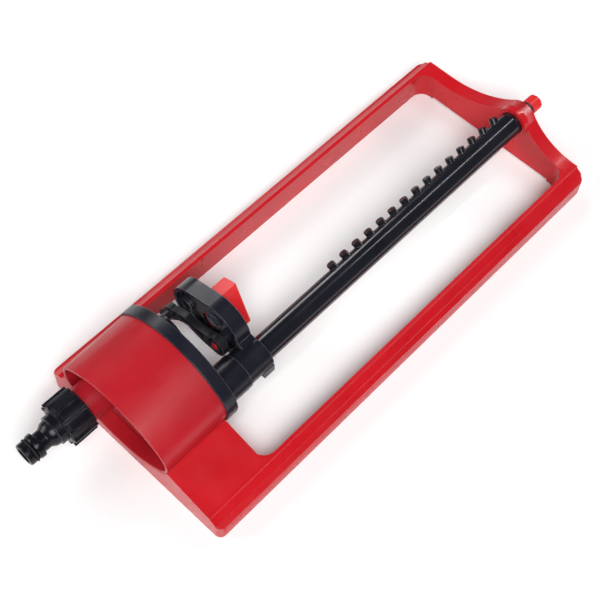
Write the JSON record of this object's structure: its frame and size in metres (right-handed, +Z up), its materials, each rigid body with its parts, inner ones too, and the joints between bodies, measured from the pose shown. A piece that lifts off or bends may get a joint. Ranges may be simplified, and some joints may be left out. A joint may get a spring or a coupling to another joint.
{
  "type": "oscillating lawn sprinkler",
  "caption": "Oscillating lawn sprinkler: a flat rectangular frame carries a water motor in an oval housing and a swinging spray tube with upright nozzles.",
  "frame": {"origin": "centre of the bounding box on the ground", "axes": "+X along the spray tube from the hose inlet to the end cap, +Z up, +Y towards the side that carries the crank link"},
  "size_m": [0.44, 0.1566, 0.0743],
  "materials": {
    "red_frame": "moulded polypropylene, satin gloss",
    "red_shell": "moulded, satin gloss",
    "red_inner": "moulded, matt",
    "black_cover": "moulded, satin with a fine edge",
    "black_rubber": "matt moulded rubber",
    "steel": "stainless steel",
    "black_nut": "moulded, satin",
    "black_adapter": "moulded, satin",
    "white_filter": "fine mesh",
    "inner_white": "acetal",
    "black_lever": "moulded, satin",
    "black_tube": "extruded, smooth gloss",
    "nozzle_rubber": "soft moulded nozzle tips",
    "red_pin": "moulded",
    "black_link": "moulded, satin",
    "red_knob": "moulded, satin gloss",
    "red_cap": "moulded, satin gloss"
  },
  "bodies": {
    "frame": {"base_frame": "red_frame", "housing_shell": "red_shell", "motor_case": "red_inner", "motor_cover": "black_cover", "cover_gasket": "black_rubber", "cover_screws": "steel", "hose_adapter": "black_adapter", "adapter_seal": "black_rubber", "inlet_washer": "black_rubber", "inlet_filter": "white_filter", "jet_plate": "inner_white", "gear_plate": "inner_white", "gear_axle": "steel"},
    "inlet_nut": {"swivel_nut": "black_nut"},
    "spray_arm": {"spray_tube": "black_tube", "spray_nozzles": "nozzle_rubber", "tube_seals": "black_rubber", "lever_cup": "black_lever", "link_pin": "red_pin", "setting_plate": "red_pin", "retaining_ring": "black_lever"},
    "link": {"crank_link": "black_link"},
    "dial": {"dial_knob": "red_knob", "dial_screw": "black_lever"},
    "crank": {"crank_shaft": "steel", "output_gear": "inner_white", "crank_disc": "black_lever"},
    "gear_two": {"second_gear": "inner_white"},
    "gear_one": {"first_gear": "inner_white"},
    "turbine": {"turbine_wheel": "inner_white"},
    "cap": {"end_cap": "red_cap", "cleaning_needle": "steel", "cap_seal": "black_rubber"}
  },
  "joints": [
    {"name": "tube_swing", "type": "hinge", "parent": "frame", "child": "spray_arm", "pos_m": [0.03335, -0.016, 0.0345], "axis": [1, 0, 0], "range_deg": [0, 55]},
    {"name": "nut_turn", "type": "hinge", "parent": "frame", "child": "inlet_nut", "pos_m": [-0.17665, 0.0366, 0.0345], "axis": [1, 0, 0], "continuous": true},
    {"name": "dial_turn", "type": "hinge", "parent": "spray_arm", "child": "dial", "pos_m": [-0.06665, 0.017, 0.0455], "axis": [1, 0, 0], "range_deg": [0, 270]},
    {"name": "link_pivot", "type": "hinge", "parent": "spray_arm", "child": "link", "pos_m": [-0.08665, 0.003, 0.045], "axis": [1, 0, 0], "range_deg": [-64, 1]},
    {"name": "crank_turn", "type": "hinge", "parent": "frame", "child": "crank", "pos_m": [-0.10665, 0.0351, 0.038], "axis": [1, 0, 0], "range_deg": [-2, 173]},
    {"name": "second_turn", "type": "hinge", "parent": "frame", "child": "gear_two", "pos_m": [-0.12665, 0.02148, 0.03331], "axis": [1, 0, 0], "range_deg": [-520.3, 5]},
    {"name": "first_turn", "type": "hinge", "parent": "frame", "child": "gear_one", "pos_m": [-0.13065, 0.0351, 0.038], "axis": [1, 0, 0], "range_deg": [-5, 1550.8]},
    {"name": "turbine_turn", "type": "hinge", "parent": "frame", "child": "turbine", "pos_m": [-0.13965, 0.02148, 0.03331], "axis": [1, 0, 0], "range_deg": [-4642.4, 5]},
    {"name": "cap_pull", "type": "slide", "parent": "spray_arm", "child": "cap", "axis": [1, 0, 0], "range_m": [0, 0.006]}
  ],
  "couplings": [
    {"joint": "link_pivot", "follows": "tube_swing", "ratio": -1.147},
    {"joint": "crank_turn", "follows": "tube_swing", "ratio": 3.1228},
    {"joint": "second_turn", "follows": "tube_swing", "ratio": -9.3684},
    {"joint": "first_turn", "follows": "tube_swing", "ratio": 28.105},
    {"joint": "turbine_turn", "follows": "tube_swing", "ratio": -84.316}
  ]
}
